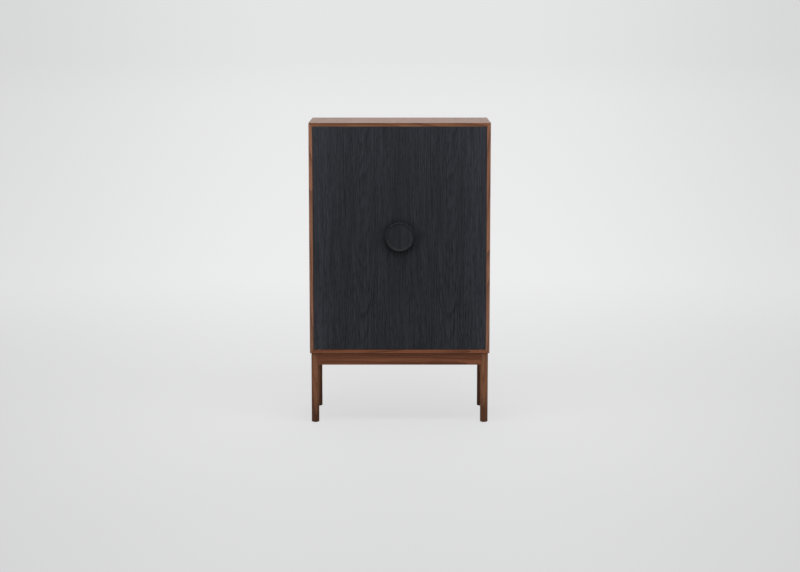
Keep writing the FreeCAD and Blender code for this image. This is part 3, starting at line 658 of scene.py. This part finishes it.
def door_wear_sheen_and_shade(sheet, colour, box):
    """Worn paler edges, a painted sheen on the outer strips, and a ring of painted shade round the
    pull.
    """
    across = parts_of(sheet.node("ShaderNodeTexCoord", out="Object"))[0]
    aside = across.maths("ABSOLUTE", across)
    # Painted sheen: the door lighter towards its outer edge, most of all on the outer strip
    rubbed_and_sheen = smooth(aside, *OUTER_SHEEN_STRIP) * 0.40 + smooth(aside, 0.0, OUTER_SHEEN_STRIP[0]) * 0.06
    colour = mixed(rubbed_and_sheen, colour, colour, "ADD")
    colour = mixed(worn_edges(sheet, *box, DOOR_RUBBED) * 0.25, colour, OAK_WORN)
    outside, _ = from_pull(sheet)
    # Painted shade: a darker ring on the door round the pull
    painted_pull_shade = 1 - smooth(outside, *PULL_SHADE_REACH)
    return mixed(painted_pull_shade * 0.33, colour, OAK_PORE)


def pull_rim_painted_shade(sheet, colour, box):
    """A little darker overall, and darker still on the rim, most of all below: partly end grain that
    takes more stain, partly painted shade that dims the rim's highlight.
    """
    outside, up = from_pull(sheet)
    below = 1 - smooth(up, -PULL_RADIUS, PULL_RADIUS)
    # Painted shade on the rim, strongest below
    rim = smooth(outside, *RIM_SHADE_REACH)
    return mixed(0.05 + rim * (0.26 + below * 0.33), colour, OAK_PORE)


print("the pull is", round(2 * PULL_RADIUS * MILLIMETRES), "mm across")

# %% Stained oak on the doors and the pull
DOOR_HEART = (0.030, 0.085)
PULL_HEART = (0.06, 0.12)


def stained_oak(name, box, heart, wear_and_painted_light):
    """Stained oak with upright grain and open pores."""
    material, sheet = new_finish(name)
    spot = along_grain(sheet, (box[0] + box[1]) / 2, "Z")
    bent = wavering(spot, *OAK_SWAY)
    bent = wavering(bent, *OAK_QUIVER)
    rings = ring_count(bent, heart, OAK_LEAN, OAK_RING)
    place, shade = ring_shades(rings)
    early = 1 - smooth(place, *OAK_EARLY)
    band = streaks(bent, *OAK_BAND)
    ribbon = streaks(spot, *OAK_RIBBON)
    line = smooth(streaks(bent, *OAK_LINE), *OAK_LINE_EDGE)
    dash = streaks(spot, *OAK_DASH)
    pore = smooth(dash + early * 0.06, *OAK_PORE_EDGE)
    tone = band * 0.35 + ribbon * 0.85 + line * 0.22 + shade * 0.08 - early * 0.07
    grey = smooth(tone, *OAK_GREY_EDGE)
    colour = mixed(grey, OAK_DARK, OAK_GREY)
    colour = mixed(pore * 0.58, colour, OAK_PORE)
    # Wear plus painted sheen and shade on a door, or painted shade on the pull
    colour = wear_and_painted_light(sheet, colour, box)
    roughness = 0.50 + pore * 0.20 - grey * 0.10
    height = ribbon * 0.30 - pore - early * 0.10
    finished(sheet, colour, roughness, height, OAK_RELIEF, Specular_IOR_Level=OAK_GLOSS)
    return material


pull_finish = stained_oak("stained_oak_pull", PULL_BOX, PULL_HEART, pull_rim_painted_shade)
for side in ("left", "right"):
    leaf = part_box(side + "_door")
    dress(side + "_door", stained_oak("stained_oak_" + side, leaf, DOOR_HEART, door_wear_sheen_and_shade))
    dress(side + "_handle", pull_finish)
print("stained oak: two doors and both halves of the pull")

# %% [markdown]
# ## Brass and steel
# The fittings are small, but an open door brings them close. Hinge leaves and pins are brass,
# brushed lengthwise and tarnished in soft clouds. Screws, strike plates and magnets are steel with a
# thin plating, frosted and finely scratched. One formula with many numbers could serve every
# fitting, but separate short ones each read like the material they make.

# %% Satin brass
ORIGIN = (0, 0, 0)
BRASS_BRIGHT = (0.64, 0.45, 0.19)
BRASS_DULL = (0.32, 0.21, 0.09)
# Width, length and detail of the streaks
BRASS_BRUSH = (0.0003, 0.015, 2.0)
BRASS_CLOUD = (0.008, 0.008, 3.0)
BRASS_CLOUD_EDGE = (0.45, 0.68)
BRASS_RELIEF = 0.00003


def satin_brass():
    """Brushed along X and tarnished in clouds."""
    material, sheet = new_finish("satin_brass")
    spot = along_grain(sheet, ORIGIN, "X")
    brush = streaks(spot, *BRASS_BRUSH)
    cloud = smooth(streaks(spot, *BRASS_CLOUD), *BRASS_CLOUD_EDGE)
    colour = mixed(cloud * 0.6, BRASS_BRIGHT, BRASS_DULL)
    roughness = 0.22 + brush * 0.20 + cloud * 0.18
    finished(sheet, colour, roughness, brush - cloud * 0.3, BRASS_RELIEF, Metallic=1.0)
    return material


brass = satin_brass()
print("brass:", len(brass.node_tree.nodes), "nodes")

# %% Plated steel
STEEL_BRIGHT = (0.60, 0.60, 0.61)
STEEL_DULL = (0.35, 0.36, 0.38)
STEEL_SWAY = (0.004, 0.004, 0.002)
STEEL_SCRATCH = (0.0002, 0.006, 2.0)
STEEL_FROST = (0.0012, 0.0012, 3.0)
STEEL_FROST_EDGE = (0.35, 0.70)
STEEL_RELIEF = 0.00002


def plated_steel():
    """Frosted by its plating, with fine scratches that wander."""
    material, sheet = new_finish("plated_steel")
    spot = along_grain(sheet, ORIGIN, "X")
    scratch = streaks(wavering(spot, *STEEL_SWAY), *STEEL_SCRATCH)
    frost = streaks(spot, *STEEL_FROST)
    colour = mixed(smooth(frost, *STEEL_FROST_EDGE), STEEL_BRIGHT, STEEL_DULL)
    roughness = 0.24 + frost * 0.22 + scratch * 0.12
    finished(sheet, colour, roughness, scratch + frost * 0.5, STEEL_RELIEF, Metallic=1.0)
    return material


steel = plated_steel()
print("steel:", len(steel.node_tree.nodes), "nodes")

# %% [markdown]
# ## Nylon and plastic
# The hinges turn on washers of milky nylon, and the legs stand on glides of the same, scuffed by
# the floor. The catches are moulded in dark plastic with a sandy skin, rubbed grey at the edges. A
# plain colour would look like a toy; a little light that enters the nylon, and a fine relief on the
# plastic, tell the two apart even at this size.

# %% Milky nylon
NYLON_CLEAN = (0.72, 0.70, 0.64)
NYLON_SCUFFED = (0.48, 0.46, 0.41)
NYLON_CLOUD = (0.004, 0.004, 3.0)
NYLON_SCUFF = (0.0006, 0.006, 2.0)
NYLON_SCUFF_EDGE = (0.56, 0.70)
NYLON_RELIEF = 0.00004
NYLON_MILK = {"Subsurface_Weight": 0.1, "Subsurface_Scale": 0.002}


def milky_nylon():
    """Clouded and scuffed, with light entering a little."""
    material, sheet = new_finish("milky_nylon")
    spot = along_grain(sheet, ORIGIN, "Z")
    cloud = streaks(spot, *NYLON_CLOUD)
    scuff = smooth(streaks(spot, *NYLON_SCUFF), *NYLON_SCUFF_EDGE)
    colour = mixed(scuff * 0.5 + cloud * 0.3, NYLON_CLEAN, NYLON_SCUFFED)
    roughness = 0.38 + scuff * 0.25 + cloud * 0.12
    finished(sheet, colour, roughness, cloud * 0.4 - scuff, NYLON_RELIEF, **NYLON_MILK)
    return material


nylon = milky_nylon()
print("nylon:", len(nylon.node_tree.nodes), "nodes")

# %% Dark plastic
PLASTIC_DARK = (0.020, 0.018, 0.017)
PLASTIC_RUBBED = (0.060, 0.055, 0.051)
PLASTIC_SAND = (0.0004, 0.0004, 2.0)
PLASTIC_EDGE = 0.002
PLASTIC_RELIEF = 0.00006


def dark_plastic(piece):
    """A sandy skin, rubbed paler along the edges of a piece."""
    material, sheet = new_finish("dark_plastic_" + piece)
    sand = streaks(along_grain(sheet, ORIGIN, "Z"), *PLASTIC_SAND)
    rubbed_and_sheen = worn_edges(sheet, *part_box(piece), PLASTIC_EDGE)
    colour = mixed(rubbed_and_sheen * 0.5 + sand * 0.2, PLASTIC_DARK, PLASTIC_RUBBED)
    roughness = 0.46 + sand * 0.22 - rubbed_and_sheen * 0.12
    finished(sheet, colour, roughness, sand, PLASTIC_RELIEF)
    return material


CATCHES = [piece for piece in nodes if piece.endswith("_catch")]
for piece in CATCHES:
    dress(piece, dark_plastic(piece))
print("catches:", len(CATCHES))

# %% [markdown]
# ## Birch ply
# The mitres of the case are held by loose tongues of birch ply, hidden in their grooves. Ply is
# glued from layers whose grain lies crosswise by turns, so its edge is striped. A striped picture
# would have to be laid on every side; here the layers are counted through the thickness instead,
# and every second one is darker.

# %% Birch ply
PLY_PALE = (0.56, 0.42, 0.27)
PLY_CROSS = (0.38, 0.25, 0.14)
PLY_LAYER = 0.0008
PLY_FIBRE = (0.0007, 0.03, 3.0)
PLY_RELIEF = 0.00010


def birch_ply(piece, across):
    """Ply in thin layers; across is the direction of its thickness."""
    low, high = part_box(piece)
    centre = (low + high) / 2
    material, sheet = new_finish("birch_ply_" + piece)
    fibre = streaks(along_grain(sheet, centre, "Y"), *PLY_FIBRE)
    spot = sheet.node("ShaderNodeTexCoord", out="Object")
    offset = vector_maths("SUBTRACT", spot, centre)
    layer = vector_maths("DOT_PRODUCT", offset, across, "Value") / PLY_LAYER
    layer = layer.maths("FLOOR", layer)
    crossed = layer.maths("FLOORED_MODULO", layer, 2.0)
    colour = mixed(crossed * 0.7 + fibre * 0.3, PLY_PALE, PLY_CROSS)
    finished(sheet, colour, 0.62 + fibre * 0.2, fibre - crossed * 0.4, PLY_RELIEF)
    return material


TONGUES = [piece for piece in nodes if piece.startswith("mitre_tongue")]
for piece in TONGUES:
    leans_right = 1 if piece.endswith("right") else -1
    leans_up = 1 if "upper" in piece else -1
    dress(piece, birch_ply(piece, Vector((leans_right, 0, leans_up)).normalized()))
print("tongues:", len(TONGUES))

# %% Brass, steel and nylon on the fittings
for piece in nodes:
    if piece.endswith("_leaf"):
        dress(piece, brass)
    elif piece.endswith(("_plate", "_magnet")):
        dress(piece, steel)
    elif piece.endswith("_washer") or piece.startswith("foot_glide"):
        dress(piece, nylon)
print("finishes so far:", len(bpy.data.materials))

# %% [markdown]
# ## Where the screws and pins sit
# In the model a set of screws is one mesh that holds many loose solids. To give each one a real
# head and thread, its place has to be known. It could be typed in, but then it would be wrong as
# soon as the cabinet changed. So the mesh is taken apart: faces that share a corner belong to one
# solid, the longest side of a solid is its axis, and the end that is near its widest ring is the head.

# %% Take sets of solids apart
CORNER_DIGITS = 6


def separate_solids(piece):
    """Lists of corners, one list for each loose solid in a piece."""
    mesh = nodes[piece].data
    corners = [tuple(round(c, CORNER_DIGITS) for c in vertex.co) for vertex in mesh.vertices]
    leader = {corner: corner for corner in corners}

    def first_of(corner):
        while leader[corner] != corner:
            corner = leader[corner]
        return corner

    for face in mesh.polygons:
        start, *others = [corners[i] for i in face.vertices]
        for other in others:
            leader[first_of(other)] = first_of(start)
    solids = {}
    for corner in leader:
        solids.setdefault(first_of(corner), []).append(Vector(corner))
    return list(solids.values())


SCREWS = [piece for piece in nodes if piece.endswith("_screws")]
PINS = [piece for piece in nodes if piece.endswith("_pins")]
loose = {piece: separate_solids(piece) for piece in SCREWS + PINS}
print("loose solids:", sum(len(solids) for solids in loose.values()), "in", len(loose), "sets")

# %% Measure each solid
# Shares of the greatest radius and of the length, counted from the middle
NEAR_WIDEST = 0.999
NEAR_TIP = 0.499


def measured(solid):
    """Head end, direction, length and radii of a turned solid, and where its widest part runs."""
    low = Vector([min(corner[i] for corner in solid) for i in range(3)])
    high = Vector([max(corner[i] for corner in solid) for i in range(3)])
    axis = max(range(3), key=lambda i: high[i] - low[i])
    aim = Vector([1.0 if i == axis else 0.0 for i in range(3)])
    middle = (low + high) / 2
    length = high[axis] - low[axis]
    outward = [(corner - middle - aim * (corner - middle).dot(aim)).length for corner in solid]
    widest = max(outward)
    places = [(corner - middle).dot(aim) for corner in solid]
    ring = [place for place, far in zip(places, outward) if far > NEAR_WIDEST * widest]
    if sum(ring) > 0:
        aim = -aim
        places = [-place for place in places]
        ring = [-place for place in ring]
    tip = [far for place, far in zip(places, outward) if place > NEAR_TIP * length]
    return {"spot": middle - aim * (length / 2), "aim": aim, "length": length, "head": widest,
            "shank": max(tip), "from": min(ring) + length / 2, "to": max(ring) + length / 2}


fasteners = {piece: [measured(solid) for solid in solids] for piece, solids in loose.items()}
for piece, found in fasteners.items():
    sizes = [round(found[0][key] * MILLIMETRES, 2) for key in ("head", "shank", "length")]
    print(piece, len(found), "with head, shank and length", sizes, "mm")

# %% [markdown]
# ## Turned shapes in Geometry Nodes
# Screws and pins are turned: a profile spun about an axis. Here every line of the profile becomes
# one open cone, and merging the corners that touch closes the skin. The sizes are inputs of the
# tree, so the same tree makes a small screw for a strike plate and a long one for the base. A tree
# is run on a mesh of bare points, one for each place, that carry the direction to point in; then
# the result is kept as a plain mesh, which any program can read.

# %% A tree with named sizes, and turned solids in it
ROUNDS = 24
MERGE_REACH = 0.000002


def new_shape(name, sizes):
    """A tree with an input for each size; gives its sheet and its inputs."""
    tree = bpy.data.node_groups.new(name, "GeometryNodeTree")
    sockets = {"Spots": "NodeSocketGeometry", "Seed": "NodeSocketInt", "Finish": "NodeSocketMaterial"}
    sockets.update({size: "NodeSocketFloat" for size in sizes})
    for socket, kind in sockets.items():
        tree.interface.new_socket(socket, in_out="INPUT", socket_type=kind)
    tree.interface.new_socket("Shape", in_out="OUTPUT", socket_type="NodeSocketGeometry")
    sheet = Sheet(tree)
    entry = tree.nodes.new("NodeGroupInput")
    return sheet, {socket.name: Wire(sheet, socket) for socket in entry.outputs if socket.name}


def lifted(shape, height):
    """A shape moved up by a height."""
    lift = shape.sheet.node("ShaderNodeCombineXYZ", None, {2: height})
    return shape.sheet.node("GeometryNodeTransform", None, {"Geometry": shape, "Translation": lift})


def turned(sheet, profile):
    """A closed solid turned about Z from a profile of (radius, height) pairs."""
    bands = []
    for (radius, height), (next_radius, next_height) in zip(profile, profile[1:]):
        sizes = {"Vertices": ROUNDS, "Radius Bottom": radius, "Radius Top": next_radius,
                 "Depth": next_height - height}
        cone = sheet.node("GeometryNodeMeshCone", {"fill_type": "NONE"}, sizes)
        bands.append(lifted(cone, height))
    joined = sheet.node("GeometryNodeJoinGeometry", None, {0: bands})
    touching = {"Geometry": joined, "Distance": MERGE_REACH}
    return sheet.node("GeometryNodeMergeByDistance", None, touching)


print("turned solids have", ROUNDS, "sides")

# %% Plant a shape on every spot
CREASE = 0.6


def planted(sheet, inputs, shape):
    """Ends a tree: the shape stands on every spot, along its aim, turned at random about its axis."""
    soft = {"Geometry": shape, "Shade Smooth": True}
    even = sheet.node("GeometryNodeSetShadeSmooth", {"domain": "FACE"}, soft)
    bend = sheet.node("GeometryNodeInputMeshEdgeAngle", out="Unsigned Angle")
    sharp = bend.maths("GREATER_THAN", bend, CREASE)
    creases = {"Geometry": even, "Selection": sharp, "Shade Smooth": False}
    crisp = sheet.node("GeometryNodeSetShadeSmooth", {"domain": "EDGE"}, creases)
    aim = sheet.node("GeometryNodeInputNamedAttribute", {"data_type": "FLOAT_VECTOR"}, {"Name": "aim"})
    along = sheet.node("FunctionNodeAlignRotationToVector", {"axis": "Z"}, {"Vector": aim})
    chance = {"Min_001": 0.0, "Max_001": 2 * math.pi, "Seed": inputs["Seed"]}
    angle = sheet.node("FunctionNodeRandomValue", {"data_type": "FLOAT"}, chance, "Value_001")
    turn = sheet.node("FunctionNodeAxisAngleToRotation", None, {"Axis": (0, 0, 1), "Angle": angle})
    both = {"Rotation": along, "Rotate By": turn}
    rotation = sheet.node("FunctionNodeRotateRotation", {"rotation_space": "LOCAL"}, both)
    copies = {"Points": inputs["Spots"], "Instance": crisp, "Rotation": rotation}
    placed = sheet.node("GeometryNodeInstanceOnPoints", None, copies)
    solid = sheet.node("GeometryNodeRealizeInstances", None, {"Geometry": placed})
    finish = {"Geometry": solid, "Material": inputs["Finish"]}
    dressed = sheet.node("GeometryNodeSetMaterial", None, finish)
    sheet.node("NodeGroupOutput", None, {0: dressed})
    return sheet.tree


print("edges bent by more than", round(math.degrees(CREASE)), "degrees stay crisp")

# %% Keep what a tree makes as a plain mesh
def kept_mesh(name, tree, places, values):
    """Runs a tree on points and keeps what it makes as a plain mesh."""
    points = bpy.data.meshes.new(name)
    points.from_pydata([place["spot"] for place in places], [], [])
    aims = points.attributes.new("aim", "FLOAT_VECTOR", "POINT")
    aims.data.foreach_set("vector", [c for place in places for c in place["aim"]])
    holder = bpy.data.objects.new(name, points)
    scene.collection.objects.link(holder)
    modifier = holder.modifiers.new(tree.name, "NODES")
    modifier.node_group = tree
    for item in tree.interface.items_tree:
        if item.name in values:
            modifier[item.identifier] = values[item.name]
    evaluated = holder.evaluated_get(bpy.context.evaluated_depsgraph_get())
    plain = bpy.data.meshes.new_from_object(evaluated)
    plain.materials.clear()
    plain.materials.append(values["Finish"])
    holder.modifiers.clear()
    holder.data = plain
    return holder


def stand_in(holder, piece):
    """Puts a finished piece in the place of a plain one of the model."""
    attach(holder, nodes[piece]["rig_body"])
    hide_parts(piece)
    print(holder.name, len(holder.data.polygons), "faces")


print("sets to stand in for:", len(fasteners))

# %% [markdown]
# ## Screws
# Every screw has a head with a cross recess, a core, a ridge wound round it and a point. Wood
# screws with flat heads sink into a cone; those under the base have round heads that sit in a
# deep hole. The recess is cut by two crossed wedges. The thread is a spiral that carries a small
# square section; cutting it from the core would give the same look for far more work.

# %% The recess and the thread
# Reach and width of the recess as shares of the head's radius, and how much it narrows downwards
RECESS_SHARE = 0.52
BLADE_SHARE = 0.20
RECESS_TAPER = 0.45
THREAD_STEPS = 16
RIDGE_SIDES = 4


def wedge(sheet, reach, depth, turn):
    """A block that narrows downwards, to cut one arm of the recess."""
    blade = reach * (BLADE_SHARE / RECESS_SHARE)
    size = sheet.node("ShaderNodeCombineXYZ", None, {0: reach * 2, 1: blade, 2: depth * 2})
    block = sheet.node("GeometryNodeMeshCube", None, {"Size": size})
    across, aside, down = parts_of(sheet.node("GeometryNodeInputPosition"))
    narrow = 1 - down / depth * RECESS_TAPER
    spot = sheet.node("ShaderNodeCombineXYZ", None, {0: across * narrow, 1: aside * narrow, 2: down})
    tapered = sheet.node("GeometryNodeSetPosition", None, {"Geometry": block, "Position": spot})
    return sheet.node("GeometryNodeTransform", None, {"Geometry": tapered, "Rotation": (0, 0, turn)})


def thread(sheet, start, end, radius, ridge, pitch):
    """A ridge wound round the core."""
    line = {"Resolution": THREAD_STEPS, "Rotations": (end - start) / pitch, "Height": end - start,
            "Start Radius": radius - ridge, "End Radius": radius - ridge}
    spiral = sheet.node("GeometryNodeCurveSpiral", None, line)
    outline = {"Resolution": RIDGE_SIDES, "Radius": ridge}
    section = sheet.node("GeometryNodeCurvePrimitiveCircle", None, outline)
    wound = {"Curve": spiral, "Profile Curve": section, "Fill Caps": True}
    return lifted(sheet.node("GeometryNodeCurveToMesh", None, wound), start)


print("a turn of thread has", THREAD_STEPS, "steps")

# %% The screws' tree
SCREW_SIZES = ("Top Radius", "Head Radius", "Edge Start", "Edge End", "Seat", "Shank Radius", "Length")
# Ridge, point and pitch as shares of the shank's radius, and the core's sink as a share of the ridge
RIDGE_SHARE = 0.17
POINT_SHARE = 1.7
PITCH_SHARE = 0.85
CORE_SINK = 1.3


def screw_tree():
    """Head, core and point in one turned body, with the recess cut and the thread added."""
    sheet, inputs = new_shape("screw", SCREW_SIZES)
    top, head, start, end, seat, shank, length = [inputs[size] for size in SCREW_SIZES]
    ridge = shank * RIDGE_SHARE
    core = shank - ridge * CORE_SINK
    point = length - shank * POINT_SHARE
    outline = [(0.0, 0.0), (top, 0.0), (head, start), (head, end),
               (core, seat), (core, point), (0.0, length)]
    recess = head * RECESS_SHARE
    wedges = [wedge(sheet, recess, recess, turn) for turn in (0.0, math.pi / 2)]
    cut = {"Mesh 1": turned(sheet, outline), "Mesh 2": wedges}
    body = sheet.node("GeometryNodeMeshBoolean", {"operation": "DIFFERENCE", "solver": "EXACT"}, cut)
    pitch = shank * PITCH_SHARE
    winding = thread(sheet, seat + pitch, point, shank, ridge, pitch)
    whole = sheet.node("GeometryNodeJoinGeometry", None, {0: [body, winding]})
    return planted(sheet, inputs, whole)


screws = screw_tree()
print("screw tree:", len(screws.nodes), "nodes")

# %% Every screw in its place
HEAD_EASE = 0.00012
# A round head: its flat top as a share of the radius, and its dome as a share of the height
ROUND_TOP_SHARE = 0.60
ROUND_EDGE_SHARE = 0.55


def screw_sizes(facts):
    """Sizes for the tree: a flat head tapers from its face, a round one is domed over a flat seat."""
    head, shank, deep = facts["head"], facts["shank"], facts["to"]
    if deep > HEAD_EASE:
        head_sizes = (head * ROUND_TOP_SHARE, head, deep * ROUND_EDGE_SHARE, deep, deep)
    else:
        head_sizes = (head - 2 * HEAD_EASE, head - HEAD_EASE, HEAD_EASE, HEAD_EASE, head - shank)
    return dict(zip(SCREW_SIZES, (*head_sizes, shank, facts["length"])))


for seed, piece in enumerate(SCREWS):
    values = {**screw_sizes(fasteners[piece][0]), "Seed": seed, "Finish": steel}
    stand_in(kept_mesh(piece + "_threaded", screws, fasteners[piece], values), piece)

# %% [markdown]
# ## Pins
# The shelves lie on turned brass pins: a head with a chamfered nose and a groove, a shoulder that
# stops it at the board, and a stem for the hole. The hinge pins are plain by comparison, with just
# a chamfer at each end, so they come from the same tree with the groove's depth set to nothing.

# %% The pins' tree
PIN_SIZES = ("Nose", "Head Radius", "Head Length", "Groove", "Stem Radius", "Length")
PIN_CHAMFER = 0.0004
# Where the groove starts, is deep and ends, as shares of the head's length
GROOVE_PLACES = (0.40, 0.46, 0.54, 0.60)


def pin_tree():
    """A nose, a grooved head, a shoulder and a stem."""
    sheet, inputs = new_shape("turned_pin", PIN_SIZES)
    nose, head, run, groove, stem, length = [inputs[size] for size in PIN_SIZES]
    first, second, third, fourth = [run * place for place in GROOVE_PLACES]
    outline = [(0.0, 0.0), (head - nose, 0.0), (head, nose), (head, first), (head - groove, second),
               (head - groove, third), (head, fourth), (head, run), (stem, run),
               (stem, length - PIN_CHAMFER), (stem - PIN_CHAMFER, length), (0.0, length)]
    return planted(sheet, inputs, turned(sheet, outline))


pins = pin_tree()
print("pin tree:", len(pins.nodes), "nodes")

# %% Every pin in its place
GROOVE_DEPTH = 0.0005
HEAD_OVER_STEM = 1.1


def pin_sizes(facts):
    """Sizes for the tree: a pin without a head is one plain rod."""
    headed = facts["head"] > facts["shank"] * HEAD_OVER_STEM
    nose = facts["from"] if headed else PIN_CHAMFER
    run = facts["to"] if headed else facts["length"] / 2
    groove = GROOVE_DEPTH if headed else 0.0
    stem = facts["shank"] if headed else facts["head"]
    return dict(zip(PIN_SIZES, (nose, facts["head"], run, groove, stem, facts["length"])))


for seed, piece in enumerate(PINS):
    values = {**pin_sizes(fasteners[piece][0]), "Seed": seed, "Finish": brass}
    stand_in(kept_mesh(piece + "_turned", pins, fasteners[piece], values), piece)
